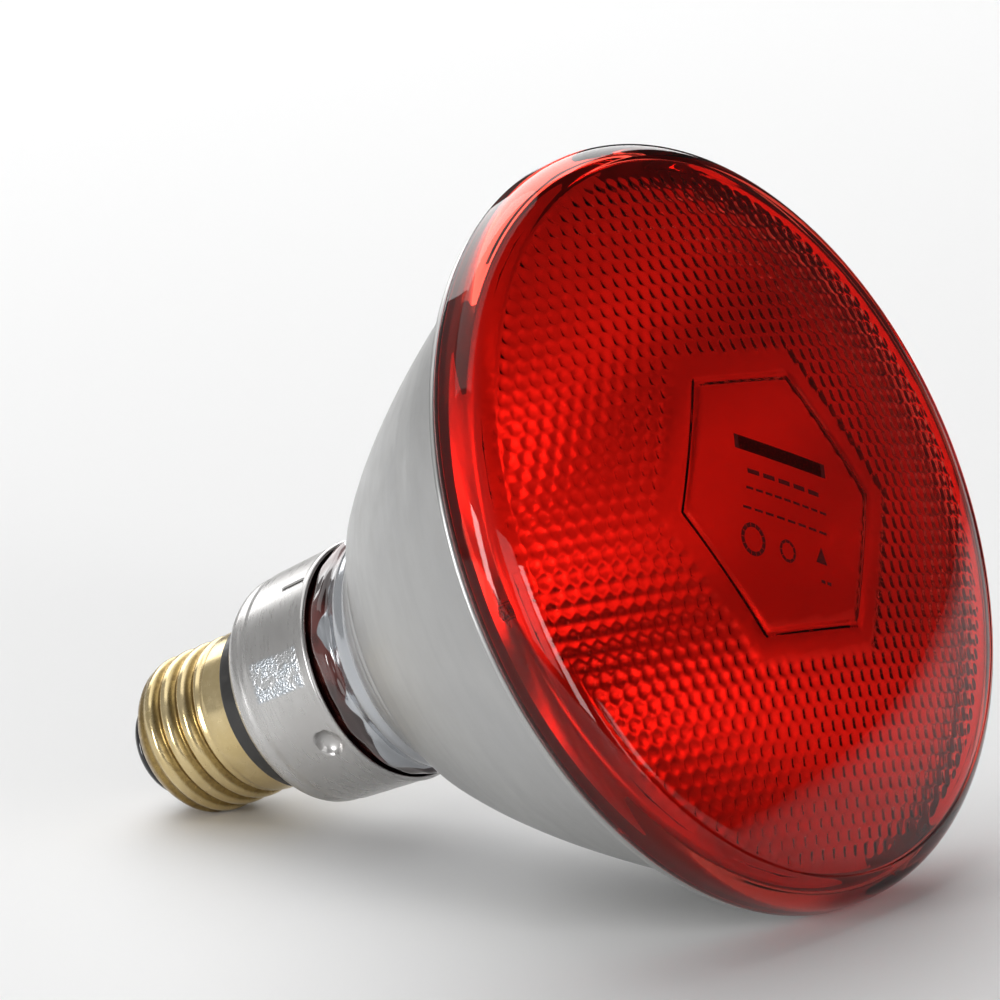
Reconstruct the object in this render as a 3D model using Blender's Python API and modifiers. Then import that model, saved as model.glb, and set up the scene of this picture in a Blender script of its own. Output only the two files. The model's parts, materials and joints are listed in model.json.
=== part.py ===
"""Red infrared reflector heat lamp, with a screw cap and an aluminium skirt.

Every piece is modelled in the lamp's own axes: Z runs along the lamp from the tip of the
cap to the front of the lens, and Z = 0 is the tip. One empty then lays the whole lamp down
on the ground, on the lens rim and the screw shell, with the lens towards -Y.
"""

import math

import bmesh
import bpy
from mathutils import Matrix, Vector

MM = 0.001

# Driving dimensions, in millimetres
LAMP_LENGTH = 134.0
LENS_RADIUS = 60.5
SKIRT_RADIUS = 19.6
THREAD_RADIUS = 13.15
SHELL_MOUTH = 8.6
THREAD_PITCH = 3.63
THREAD_DEPTH = 0.9
THREAD_SHIFT = 1.4
WINDOW_RADIUS = 22.4
WINDOW_TURN = math.radians(-9.0)
STAKES = 3
STAKE_TURN = math.radians(207.4)
STAKE_HEIGHT = 47.0
STAKE_REACH = 20.9
STAKE_BALL = 2.6
SLIT_TURN = math.radians(124.5)
SLIT_HEIGHT = 46.6
SLIT_LENGTH = 4.8
SLIT_WIDTH = 0.5
SKIRT_SHEET = 0.5
SHELL_SHEET = 0.4
DROP_RADIUS = 2.2
DROP_HEIGHT = 0.7
GAP = 0.3

# Stations along the axis, in millimetres from the tip of the cap
SHELL_START = 4.2
THREAD_START = 8.8
THREAD_END = 21.6
SHELL_END = 26.6
RING_START = SHELL_END + GAP
RING_END = 30.6
SKIRT_START = RING_END + GAP
SKIRT_END = 50.8
NECK_END = 39.0
WALL_BACK = 51.0
SEAM = 115.3
FACE_EDGE = 125.4

# Glass walls: the bowl is a paraboloid, radius squared = growth * (z - vertex)
BOWL_GROWTH = 50.0
BOWL_VERTEX = 51.5
MIRROR_GROWTH = 48.5
MIRROR_VERTEX = 54.9
FOCUS = MIRROR_VERTEX + MIRROR_GROWTH / 4
FACE_RADIUS = 56.5
LENS_WALL = 4.4
LENS_INNER_EDGE = 55.4
SHOULDER = 6.2
SHOULDER_START = 119.7

# Inner works
POST_OFFSET = 8.0
POST_RADIUS = 0.6
FERRULE_RADIUS = 2.9
FERRULE_START = 48.2
FERRULE_END = 57.0
FERRULE_WALL = 0.5
COIL_RADIUS = 1.1
COIL_WIRE = 0.16
COIL_TURNS = 12
BEAD_HEIGHT = 61.0
ANCHOR_WIRE = 0.3
LEAD_WIRE = 0.4

# Facets around the axis
ROUGH = 16
COARSE = 24
MEDIUM = 36
SMOOTH = 48
FINE = 60

parts = None
cutters = None
lamp_axis = None


# ---------------------------------------------------------------- helpers

def clear_scene():
    for thing in list(bpy.data.objects):
        bpy.data.objects.remove(thing)
    for group in list(bpy.data.collections):
        bpy.data.collections.remove(group)


def new_collection(name):
    group = bpy.data.collections.new(name)
    bpy.context.scene.collection.children.link(group)
    return group


def material(name, colour, roughness, metallic=0.0, transmission=0.0):
    made = bpy.data.materials.get(name)
    if made:
        return made
    made = bpy.data.materials.new(name)
    made.use_nodes = True
    shader = made.node_tree.nodes["Principled BSDF"]
    shader.inputs["Base Color"].default_value = (*colour, 1.0)
    shader.inputs["Roughness"].default_value = roughness
    shader.inputs["Metallic"].default_value = metallic
    shader.inputs["Transmission Weight"].default_value = transmission
    made.diffuse_color = (*colour, 1.0)
    return made


def red_glass():
    return material("red_glass", (0.55, 0.01, 0.01), 0.05, transmission=0.6)


def mirrored_glass():
    return material("mirrored_glass", (0.62, 0.62, 0.63), 0.3, metallic=0.6)


def clear_glass():
    return material("clear_glass", (0.85, 0.87, 0.88), 0.05, transmission=0.9)


def black_glass():
    return material("black_glass", (0.015, 0.015, 0.018), 0.2)


def aluminium():
    return material("aluminium", (0.72, 0.71, 0.7), 0.28, metallic=1.0)


def brass():
    return material("brass", (0.72, 0.5, 0.2), 0.25, metallic=1.0)


def nickel():
    return material("nickel", (0.55, 0.53, 0.5), 0.3, metallic=1.0)


def tungsten():
    return material("tungsten", (0.2, 0.2, 0.21), 0.45, metallic=1.0)


def solder():
    return material("solder", (0.5, 0.5, 0.52), 0.4, metallic=1.0)


def black_ceramic():
    return material("black_ceramic", (0.02, 0.02, 0.024), 0.45)


def cement():
    return material("cement", (0.6, 0.55, 0.47), 0.9)


def copper():
    return material("copper", (0.72, 0.38, 0.25), 0.35, metallic=1.0)


def add(name, data, finish):
    """A new piece in the lamp's collection, in the lamp's axes, with its material."""
    thing = bpy.data.objects.new(name, data)
    parts.objects.link(thing)
    thing.parent = lamp_axis
    data.materials.append(finish)
    return thing


def add_cutter(name, data, place=(0, 0, 0)):
    """A new cutting tool, in the lamp's axes, at a place in millimetres."""
    tool = bpy.data.objects.new(name, data)
    cutters.objects.link(tool)
    tool.parent = lamp_axis
    tool.location = Vector(place) * MM
    tool.hide_render = True
    tool.display_type = "WIRE"
    return tool


def primitive(name, build, **sizes):
    """A mesh made by one of Blender's primitive builders, with sizes in metres."""
    mesh = bpy.data.meshes.new(name)
    work = bmesh.new()
    build(work, **sizes)
    work.to_mesh(mesh)
    work.free()
    return mesh


def rod(name, radius, length, facets):
    """A plain cylinder along Z about its middle, in millimetres."""
    return primitive(
        name, bmesh.ops.create_cone, cap_ends=True, segments=facets,
        radius1=radius * MM, radius2=radius * MM, depth=length * MM)


def ball(name, radius, around, along):
    """A plain sphere, in millimetres."""
    return primitive(
        name, bmesh.ops.create_uvsphere, u_segments=around, v_segments=along,
        radius=radius * MM)


def smooth(thing, angle=35.0):
    """Shade smooth over rounded runs and keep real edges sharp."""
    mesh = thing.data
    mesh.shade_smooth()
    mesh.set_sharp_from_angle(angle=math.radians(angle))


def evaluated_mesh(thing):
    """The object's mesh with its modifiers applied, welded into one closed body."""
    bpy.context.view_layer.update()
    graph = bpy.context.evaluated_depsgraph_get()
    mesh = bpy.data.meshes.new_from_object(thing.evaluated_get(graph))
    work = bmesh.new()
    work.from_mesh(mesh)
    bmesh.ops.remove_doubles(work, verts=work.verts, dist=1e-6)
    bmesh.ops.recalc_face_normals(work, faces=work.faces)
    work.to_mesh(mesh)
    work.free()
    return mesh


def turned(name, profile, finish, facets=MEDIUM):
    """A solid of revolution from (radius, height) points that run down its outer side."""
    mesh = bpy.data.meshes.new(name)
    points = [(radius * MM, 0.0, height * MM) for radius, height in profile]
    edges = [(i, i + 1) for i in range(len(points) - 1)]
    if profile[0][0] > 0 and profile[-1][0] > 0:
        edges.append((len(points) - 1, 0))
    mesh.from_pydata(points, edges, [])
    thing = add(name, mesh, finish)
    screw = thing.modifiers.new("Turn", "SCREW")
    screw.steps = facets
    screw.render_steps = facets
    screw.use_merge_vertices = True
    screw.merge_threshold = 0.00002
    whole = evaluated_mesh(thing)
    thing.modifiers.clear()
    thing.data = whole
    # half a facet of turn puts a flat, not a corner, on the lamp's lowest line
    whole.transform(Matrix.Rotation(math.pi / facets, 4, "Z"))
    smooth(thing)
    return thing


def cut(thing, tool, operation="DIFFERENCE"):
    """Cut a tool out of a piece, or join it on, with the exact solver."""
    step = thing.modifiers.new(operation.title(), "BOOLEAN")
    step.object = tool
    step.operation = operation
    step.solver = "EXACT"


def wire(name, route, radius, finish):
    """A round wire through (x, y, z) points in millimetres, with closed ends."""
    curve = bpy.data.curves.new(name, "CURVE")
    curve.dimensions = "3D"
    curve.bevel_depth = radius * MM
    curve.bevel_resolution = 2
    curve.use_fill_caps = True
    spline = curve.splines.new("POLY")
    spline.points.add(len(route) - 1)
    for point, place in zip(spline.points, route):
        point.co = (*(Vector(place) * MM), 1.0)
    return add(name, curve, finish)


def smooth_route(points, per_span=3):
    """Points along a smooth curve (Catmull-Rom) through the given ones."""
    known = [Vector(p) for p in points]
    known = [2 * known[0] - known[1]] + known + [2 * known[-1] - known[-2]]
    route = []
    for before, start, end, after in zip(known, known[1:], known[2:], known[3:]):
        for step in range(per_span):
            t = step / per_span
            route.append(0.5 * (
                2 * start + (end - before) * t
                + (2 * before - 5 * start + 4 * end - after) * t ** 2
                + (3 * start - before - 3 * end + after) * t ** 3))
    route.append(known[-2])
    return route


def arc(centre, radius, start, end, steps):
    """(radius, height) points on an arc, angles in degrees from +radius towards +height."""
    turns = [math.radians(start + (end - start) * i / steps) for i in range(steps + 1)]
    return [(centre[0] + radius * math.cos(t), centre[1] + radius * math.sin(t)) for t in turns]


def dome(edge_radius, edge_height, top_height, steps):
    """(radius, height) points of a shallow spherical cap, from its top to its edge."""
    rise = top_height - edge_height
    ball = (edge_radius ** 2 + rise ** 2) / (2 * rise)
    reach = math.asin(edge_radius / ball)
    turns = [reach * i / steps for i in range(steps + 1)]
    return [(ball * math.sin(t), top_height - ball * (1 - math.cos(t))) for t in turns]


def paraboloid(growth, vertex, low, high, steps):
    """(radius, height) points up a paraboloid, evenly spaced in radius."""
    first = math.sqrt(growth * (low - vertex))
    last = math.sqrt(growth * (high - vertex))
    radii = [first + (last - first) * i / steps for i in range(steps + 1)]
    return [(r, vertex + r * r / growth) for r in radii]


# ---------------------------------------------------------------- glass envelope

def make_front_lens():
    """Pressed red lens: a shallow dome with a deep rim that meets the bowl."""
    outside = dome(FACE_RADIUS, FACE_EDGE, LAMP_LENGTH, 6)
    shoulder = arc((LENS_RADIUS - SHOULDER, SHOULDER_START), SHOULDER, 62, 0, 4)
    rim = [(LENS_RADIUS, SEAM + 1.2), (LENS_RADIUS - 0.7, SEAM + GAP)]
    wall = [(LENS_INNER_EDGE + 1.5, SEAM + GAP), (LENS_INNER_EDGE + 1.2, SEAM + 4.1)]
    inner_top = LAMP_LENGTH - LENS_WALL
    inside = dome(LENS_INNER_EDGE, FACE_EDGE - LENS_WALL, inner_top, 5)[::-1]
    lens = turned("front_lens", outside + shoulder + rim + wall + inside, red_glass(), FINE)
    cut(lens, make_window_ridge(inner_top), "UNION")
    return lens


def make_window_ridge(inner_top):
    """The thin raised hexagon around the plain window on the lens's inner side."""
    outline = bpy.data.curves.new("window_ridge", "CURVE")
    outline.dimensions = "2D"
    outline.fill_mode = "BOTH"
    outline.extrude = 1.1 * MM
    for radius in (WINDOW_RADIUS + 0.4, WINDOW_RADIUS - 0.4):
        corners = outline.splines.new("POLY")
        corners.use_cyclic_u = True
        corners.points.add(5)
        for index, point in enumerate(corners.points):
            turn = WINDOW_TURN + math.radians(60 * index)
            point.co = (radius * math.cos(turn) * MM, radius * math.sin(turn) * MM, 0.0, 1.0)
    shape = bpy.data.objects.new("window_ridge_outline", outline)
    bpy.context.scene.collection.objects.link(shape)
    solid = evaluated_mesh(shape)
    bpy.data.objects.remove(shape)
    return add_cutter("window_ridge", solid, (0, 0, inner_top - 1.0))


def make_reflector_bowl():
    """Pressed glass bowl with its mirror inside, a stepped heel and a tubular neck."""
    inside = [(0.0, MIRROR_VERTEX)]
    inside += paraboloid(MIRROR_GROWTH, MIRROR_VERTEX, MIRROR_VERTEX + 0.5, SEAM, 8)
    flange = [(59.4, SEAM), (59.6, SEAM - 0.8), (58.6, SEAM - 1.8)]
    outside = paraboloid(BOWL_GROWTH, BOWL_VERTEX, 69.6, SEAM - 2.6, 7)[::-1]
    heel = [
        (28.6, 68.7), (27.3, 67.9), (26.4, 66.2),
        (25.2, 65.0), (23.6, 64.3), (22.7, 62.4),
        (21.6, 61.0), (20.1, 60.3), (19.2, 58.4)]
    neck = [(18.6, 51.0), (17.4, 48.9), (17.4, 45.2), (18.3, 44.0), (17.2, NECK_END)]
    recess = [(15.4, NECK_END), (15.2, 49.4), (13.8, WALL_BACK), (0.0, WALL_BACK)]
    bowl = turned(
        "reflector_bowl", inside + flange + outside + heel + neck + recess,
        mirrored_glass(), FINE)
    for side in (-1, 1):
        hole = rod("ferrule_hole", FERRULE_RADIUS + GAP, 12, COARSE)
        cut(bowl, add_cutter("ferrule_hole", hole, (side * POST_OFFSET, 0, WALL_BACK + 2)))
    cut(bowl, add_cutter("exhaust_hole", rod("exhaust_hole", 1.4, 12, ROUGH), (0, 0, WALL_BACK + 2)))
    return bowl


def make_exhaust_tip():
    """The glass tube that the lamp was filled through, melted shut at its end."""
    top = WALL_BACK - GAP
    tip = [(1.4, top), (2.5, top), (2.3, top - 4.0), (1.7, top - 6.4), (0.8, top - 7.6)]
    bore = [(0.0, top - 8.0), (0.0, top - 6.0), (1.4, top - 4.6)]
    return turned("exhaust_tip", tip[1:] + bore + tip[:1], clear_glass(), ROUGH)


# ---------------------------------------------------------------- filament and its leads

def make_ferrule(name, side):
    """A metal thimble sealed into the glass, which carries the current through it."""
    corner = 0.6
    floor = FERRULE_START + FERRULE_WALL
    bore = FERRULE_RADIUS - FERRULE_WALL
    mouth = [(bore, FERRULE_END), (bore, floor + corner)]
    inside = [(bore - 0.4, floor), (0.0, floor), (0.0, FERRULE_START)]
    outside = [
        (FERRULE_RADIUS - corner, FERRULE_START), (FERRULE_RADIUS, FERRULE_START + corner),
        (FERRULE_RADIUS, FERRULE_END)]
    cup = turned(name, mouth + inside + outside, copper(), ROUGH)
    cup.location.x = side * POST_OFFSET * MM
    return cup


def make_lead_post(name, side):
    """A stiff nickel wire from the ferrule up to one end of the filament."""
    route = [
        (side * POST_OFFSET, 0, FERRULE_START + FERRULE_WALL + GAP),
        (side * POST_OFFSET, 0, FERRULE_END - 1.0),
        (side * POST_OFFSET, 0, 63.0),
        (side * (POST_OFFSET + 0.2), 0, 66.0),
        (side * (POST_OFFSET - 0.2), 0, FOCUS + 1.2)]
    return wire(name, smooth_route(route), POST_RADIUS, nickel())


def make_filament():
    """The tungsten coil, bowed slightly over its middle support."""
    half = POST_OFFSET - POST_RADIUS - GAP - COIL_WIRE - 0.25
    per_turn = 8
    count = COIL_TURNS * per_turn
    route = []
    for index in range(count + 1):
        along = index / count
        turn = 2 * math.pi * along * COIL_TURNS
        bow = 1.2 * math.sin(math.pi * along)
        route.append((
            half * (2 * along - 1),
            COIL_RADIUS * math.cos(turn),
            FOCUS - 0.6 + bow + COIL_RADIUS * math.sin(turn)))
    return wire("filament_coil", route, COIL_WIRE, tungsten())


def make_support_bead():
    """The glass bead that ties the two lead posts together and holds the anchor."""
    bead = add("support_bead", rod("support_bead", 1.7, 2 * POST_OFFSET + 3.8, ROUGH), clear_glass())
    bead.location = (0, 0, BEAD_HEIGHT * MM)
    bead.rotation_euler = (0, math.pi / 2, 0)
    edge = bead.modifiers.new("Melted ends", "BEVEL")
    edge.width = 0.5 * MM
    edge.segments = 2
    for side in (-1, 1):
        hole = rod("post_hole", POST_RADIUS + GAP, 6, 12)
        cut(bead, add_cutter("post_hole", hole, (side * POST_OFFSET, 0, BEAD_HEIGHT)))
    smooth(bead)
    return bead


def make_filament_anchor():
    """A thin wire from the bead that loops around the middle of the coil."""
    centre = FOCUS + 0.6
    reach = COIL_RADIUS + COIL_WIRE + ANCHOR_WIRE + GAP
    route = [(0, 0, BEAD_HEIGHT + 1.7 + GAP), (0, -0.3, BEAD_HEIGHT + 2.6), (0, -1.6, centre - 1.9)]
    for angle in range(200, -61, -20):
        turn = math.radians(angle)
        route.append((0, reach * math.cos(turn), centre + reach * math.sin(turn)))
    return wire("filament_anchor", route, ANCHOR_WIRE, nickel())


def make_centre_lead():
    """The wire from one ferrule down the middle of the cap to the centre contact."""
    route = [
        (POST_OFFSET, 0, FERRULE_START - GAP), (POST_OFFSET, 0, 45.0), (5.6, 0, 40.6),
        (1.2, 0, 36.6), (0, 0, 32.0), (0, 0, 24.0), (0, 0, 14.0), (0, 0, 2.2 + GAP)]
    return wire("centre_lead", smooth_route(route), LEAD_WIRE, copper())


def make_fuse_sleeve():
    """The insulating sleeve over the fuse link in the centre lead."""
    outside = [(1.5, 29.0), (1.5, 14.0)]
    bore = [(LEAD_WIRE + GAP, 14.0), (LEAD_WIRE + GAP, 29.0)]
    return turned("fuse_sleeve", outside + bore, cement(), ROUGH)


def make_shell_lead():
    """The wire from the other ferrule to the solder joint inside the screw shell."""
    route = [
        (-POST_OFFSET, 0, FERRULE_START - GAP), (-POST_OFFSET, 0, 44.0), (-8.8, 0, 37.0),
        (-9.8, 0, 30.0), (-10.4, 0, 25.0), (-10.4, 0, 20.9 + GAP)]
    return wire("shell_lead", smooth_route(route), LEAD_WIRE, copper())


# ---------------------------------------------------------------- cap

def wrapped_sheet(name, radius_at, low, high, rows, facets):
    """An open tube whose radius is a function of its angle and height, in millimetres."""
    mesh = bpy.data.meshes.new(name)
    work = bmesh.new()
    bmesh.ops.create_grid(work, x_segments=facets, y_segments=rows, size=0.5)
    for vertex in work.verts:
        angle = (vertex.co.x + 0.5) * 2 * math.pi + math.pi / facets
        height = low + (vertex.co.y + 0.5) * (high - low)
        radius = radius_at(angle, height)
        vertex.co = Vector((radius * math.cos(angle), radius * math.sin(angle), height)) * MM
    bmesh.ops.remove_doubles(work, verts=work.verts, dist=1e-6)
    bmesh.ops.recalc_face_normals(work, faces=work.faces)
    work.to_mesh(mesh)
    work.free()
    return mesh


def fade(value, start, end):
    """0 before start, 1 after end, and a smooth rise between."""
    t = min(max((value - start) / (end - start), 0.0), 1.0)
    return t * t * (3 - 2 * t)


def shell_radius(angle, height):
    """Outer radius of the screw shell: a rolled knuckle thread between two plain ends."""
    mean = THREAD_RADIUS - THREAD_DEPTH / 2
    wave = math.cos(2 * math.pi * (height - THREAD_SHIFT) / THREAD_PITCH - angle)
    strength = fade(height, THREAD_START - 1.2, THREAD_START + 2.4)
    strength *= 1 - fade(height, THREAD_END - 1.6, THREAD_END)
    taper = min(max((THREAD_START - height) / (THREAD_START - SHELL_START), 0.0), 1.0)
    plain = fade(height, THREAD_END - 1.0, THREAD_END + 1.0)
    offset = strength * wave + plain
    return mean + offset * THREAD_DEPTH / 2 - taper * (mean - SHELL_MOUTH)


def make_screw_shell():
    """The thin brass shell with its rolled screw thread."""
    mesh = wrapped_sheet("screw_shell", shell_radius, SHELL_START, SHELL_END, 26, MEDIUM)
    shell = add("screw_shell", mesh, brass())
    sheet = shell.modifiers.new("Sheet", "SOLIDIFY")
    sheet.thickness = SHELL_SHEET * MM
    sheet.offset = -1
    smooth(shell, 60)
    return shell


def make_insulator():
    """The black glass cone that holds the centre contact inside the shell's end."""
    seat = [(1.2, 10.2), (8.6, 10.2), (9.7, 9.0), (9.7, 7.4), (8.4, 5.5)]
    face = [(7.4, 3.9), (5.8, 2.5), (1.2, 2.5)]
    return turned("insulator_cone", seat + face, black_glass())


def make_centre_contact():
    """The disc at the tip of the cap."""
    disc = [(1.0, 2.2), (4.7, 2.2), (4.7, 1.3), (4.4, 1.0), (1.0, 1.0)]
    return turned("centre_contact", disc, brass(), COARSE)


def make_contact_solder():
    """The drop of solder over the lead's end, the very tip of the lamp."""
    quarter = arc((0.0, 0.0), 1.0, 0, 90, 4)
    drop = [(DROP_RADIUS * across, DROP_HEIGHT * (1 - down)) for across, down in quarter]
    return turned("contact_solder", [(0.0, DROP_HEIGHT)] + drop, solder(), ROUGH)


def make_shell_solder():
    """The joint between the shell lead and the inside of the screw shell."""
    joint = add("shell_solder", ball("shell_solder", 0.9, 12, 8), solder())
    joint.location = (-10.4 * MM, 0, 20.0 * MM)
    smooth(joint, 80)
    return joint


def make_insulating_ring():
    """The black bush between the brass shell and the aluminium skirt."""
    outside = [(13.9, RING_END), (14.3, RING_END - 0.5), (14.1, RING_START + 0.3), (13.6, RING_START)]
    sleeve = [(12.4, RING_START), (12.4, 23.6), (11.8, 23.6), (11.8, 33.4), (12.4, 33.4)]
    return turned("insulating_ring", [(12.4, RING_END)] + outside + sleeve, black_ceramic())


def skirt_outline(inset):
    """(radius, height) points down the skirt's outer side, moved in by an inset."""
    edge = [(SKIRT_RADIUS + 0.2 - inset, SKIRT_END), (SKIRT_RADIUS - inset, SKIRT_END - 1.3)]
    side = [(18.95 - inset, 37.6)]
    shoulder = arc((15.2, 35.2), 3.45 - inset, 20, -60, 4)
    return edge + side + shoulder


def make_skirt():
    """The aluminium skirt: one drawn shell, staked into the neck by three dents."""
    hole = 12.7
    outer = skirt_outline(0.0) + [(15.6, SKIRT_START), (hole, SKIRT_START)]
    inner = skirt_outline(SKIRT_SHEET)
    inner += [(15.4, SKIRT_START + SKIRT_SHEET), (hole, SKIRT_START + SKIRT_SHEET)]
    skirt = turned("skirt", outer + inner[::-1], aluminium(), SMOOTH)
    # the drum ends inside the sheet, so that a dent adds metal only on the skirt's inner side
    drum = add_cutter("drum", rod("drum", SKIRT_RADIUS - 0.4, 12, SMOOTH), (0, 0, STAKE_HEIGHT))
    for index in range(STAKES):
        angle = STAKE_TURN + 2 * math.pi * index / STAKES
        place = (STAKE_REACH * math.cos(angle), STAKE_REACH * math.sin(angle), STAKE_HEIGHT)
        swelling = add_cutter("dent_back", ball("dent_back", STAKE_BALL + SKIRT_SHEET, 20, 12), place)
        cut(swelling, drum, "INTERSECT")
        cut(skirt, swelling, "UNION")
        cut(skirt, add_cutter("dent", ball("dent", STAKE_BALL, 20, 12), place))
    reach = SKIRT_RADIUS - SKIRT_SHEET / 2
    place = (reach * math.cos(SLIT_TURN), reach * math.sin(SLIT_TURN), SLIT_HEIGHT)
    slit = add_cutter("slit", primitive("slit", bmesh.ops.create_cube, size=MM), place)
    slit.rotation_euler = (0, 0, SLIT_TURN)
    slit.scale = (4 * SKIRT_SHEET, SLIT_WIDTH, SLIT_LENGTH)
    cut(skirt, slit)
    return skirt


def make_basing_cement():
    """The ring of cement between the glass neck and the skirt's shoulder."""
    outside = [(16.4, NECK_END - GAP), (16.8, 36.4), (15.6, 33.6), (14.6, 33.0)]
    bore = [(13.0, 33.0), (13.0, NECK_END - GAP)]
    return turned("basing_cement", outside + bore, cement(), MEDIUM)


# ---------------------------------------------------------------- assembly

def lay_down():
    """Tip the lamp until its lens rim and its screw shell both touch the ground."""
    bpy.context.view_layer.update()
    graph = bpy.context.evaluated_depsgraph_get()
    inverse = lamp_axis.matrix_world.inverted()
    clouds = {}
    for thing in parts.objects:
        if thing.type == "EMPTY":
            continue
        made = thing.evaluated_get(graph).to_mesh()
        place = inverse @ thing.matrix_world
        clouds[thing.name] = [place @ vertex.co for vertex in made.vertices]
    tilt = 0.4
    for _ in range(8):
        down = Vector((0.0, -math.cos(tilt), -math.sin(tilt)))
        rim = max(clouds["front_lens"], key=down.dot)
        shell = max(clouds["screw_shell"], key=down.dot)
        tilt = math.atan2(shell.y - rim.y, rim.z - shell.z)
    lamp_axis.rotation_euler = (math.pi / 2 - tilt, 0, 0)
    turn = lamp_axis.rotation_euler.to_matrix()
    points = [turn @ point for cloud in clouds.values() for point in cloud]
    middle = (min(p.y for p in points) + max(p.y for p in points)) / 2
    lamp_axis.location = (0, -middle, -min(p.z for p in points))
    return tilt


def main():
    global parts, cutters, lamp_axis
    clear_scene()
    parts = new_collection("infrared_heat_lamp")
    cutters = new_collection("cutters")
    lamp_axis = bpy.data.objects.new("lamp_axis", None)
    parts.objects.link(lamp_axis)

    make_front_lens()
    make_reflector_bowl()
    make_exhaust_tip()
    for name, side in (("left", -1), ("right", 1)):
        make_ferrule(f"{name}_ferrule", side)
        make_lead_post(f"{name}_lead_post", side)
    make_filament()
    make_support_bead()
    make_filament_anchor()
    make_centre_lead()
    make_fuse_sleeve()
    make_shell_lead()
    make_screw_shell()
    make_insulator()
    make_centre_contact()
    make_contact_solder()
    make_shell_solder()
    make_insulating_ring()
    make_skirt()
    make_basing_cement()

    tilt = lay_down()
    print("tilt of the lamp's axis", math.degrees(tilt), "degrees")


main()
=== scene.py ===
"""Looks of a red infrared heat lamp lying on a pale floor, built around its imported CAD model.

Every piece is modelled in the lamp's own axes, in millimetres: Z runs along the lamp from the
tip of the cap (Z = 0) to the front of the lens (Z = 134). LAMP then places it on the frame.
"""

import json
import math
import random

import bmesh
import bpy
import numpy as np
from mathutils import Matrix, Vector
from mathutils.geometry import delaunay_2d_cdt


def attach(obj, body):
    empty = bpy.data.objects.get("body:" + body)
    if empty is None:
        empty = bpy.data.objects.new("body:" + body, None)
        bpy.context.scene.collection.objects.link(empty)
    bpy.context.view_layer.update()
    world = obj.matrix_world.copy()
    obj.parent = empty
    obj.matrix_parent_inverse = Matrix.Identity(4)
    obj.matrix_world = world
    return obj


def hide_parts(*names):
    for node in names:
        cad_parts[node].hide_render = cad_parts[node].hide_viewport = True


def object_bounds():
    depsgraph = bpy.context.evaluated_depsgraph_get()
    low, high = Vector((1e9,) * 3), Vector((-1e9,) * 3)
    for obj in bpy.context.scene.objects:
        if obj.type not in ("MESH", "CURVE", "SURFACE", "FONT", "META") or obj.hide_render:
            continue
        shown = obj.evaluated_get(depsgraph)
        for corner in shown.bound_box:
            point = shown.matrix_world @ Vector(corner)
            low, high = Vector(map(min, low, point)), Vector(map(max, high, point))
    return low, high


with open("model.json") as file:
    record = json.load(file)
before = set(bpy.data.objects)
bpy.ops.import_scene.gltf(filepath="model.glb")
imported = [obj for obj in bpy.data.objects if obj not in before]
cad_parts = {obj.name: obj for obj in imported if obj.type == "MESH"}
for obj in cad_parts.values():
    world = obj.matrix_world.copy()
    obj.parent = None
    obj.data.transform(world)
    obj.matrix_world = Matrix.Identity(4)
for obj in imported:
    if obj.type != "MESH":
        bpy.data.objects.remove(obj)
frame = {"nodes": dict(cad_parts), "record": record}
cad_low, cad_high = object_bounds()

MM = 0.001
CAP_MOUNT_HEIGHT = 15.0

# Lengths are in millimetres, and turns are angles about the lamp's axis in radians.

# Lens
RIM_RADIUS = 60.5
FACE_RADIUS = 56.5
FACE_EDGE = 125.4
SEAM = 115.3
SHOULDER = 6.2
SHOULDER_START = 119.7
LENS_TOP = 134.0
LENS_WALL = 4.4
INNER_EDGE = 55.4
STIPPLE_PITCH = 2.62
STIPPLE_BALL = 3.8
STIPPLE_CROWN = 0.24
STIPPLE_ROWS_CLEAR = 11
PLAIN_SPACING = 1.3
WINDOW_RADIUS = 22.4
WINDOW_TURN = math.radians(-9.0)
RIDGE_HALF_WIDTH = 0.8
RIDGE_HEIGHT = 0.36
MARKS_TURN = math.radians(-26.4)

# Bowl: radius squared grows by SPREAD for each millimetre above START
MIRROR_START = 54.9
MIRROR_SPREAD = 48.5
WALL_START = 51.5
WALL_SPREAD = 50.0

# Cap
THREAD_RADIUS = 13.15
THREAD_DEPTH = 0.9
THREAD_PITCH = 3.63
THREAD_SHIFT = 1.4
THREAD_GROWS = (7.6, 11.2)
THREAD_FADES = (20.8, 22.2)
PLAIN_COLLAR = (21.2, 22.8)
SHELL_SHEET = 0.4
SHELL_FOOT = 4.2
SHELL_TOP = 26.6
FOOT_RADIUS = 8.6
FOOT_HEIGHT = 4.6
SKIRT_SHEET = 0.42
STAKE_TURN = math.radians(207.4)
STAKE_HEIGHT = 47.0
STAKE_REACH = 2.4
STAKE_DEPTH = 1.6
SLIT_TURN = math.radians(124.5)
SLIT_HALF_TURN = math.radians(1.0)
SLIT_FOOT = 44.2
SLIT_TOP = 49.1
PATCH_TURN = math.radians(168.5)
PATCH_HALF_TURN = math.radians(10)
PATCH_HEIGHT = 43.3
PATCH_HALF_HEIGHT = 5.2

# Camera, aimed at the middle of the lamp; metres, degrees, and the lens in millimetres
CAMERA_AZIMUTH = -54.78
CAMERA_ELEVATION = 12.9
CAMERA_ROLL = -1.97
CAMERA_DISTANCE = 1.2472
CAMERA_LENS = 292.0


def lamp_axes():
    """The lamp's own axes in the frame, from the screw cap's mount."""
    cap = next(m for m in frame["record"]["mounts"] if m["name"] == "screw_cap")
    along = -Vector(cap["axis"]).normalized()
    across = Vector((1, 0, 0))
    tip = Vector(cap["pos_m"]) - CAP_MOUNT_HEIGHT * MM * along
    turn = Matrix((across, along.cross(across), along)).transposed()
    return Matrix.Translation(tip) @ turn.to_4x4()


LAMP = lamp_axes()


# ---------------------------------------------------------------- profiles

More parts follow.
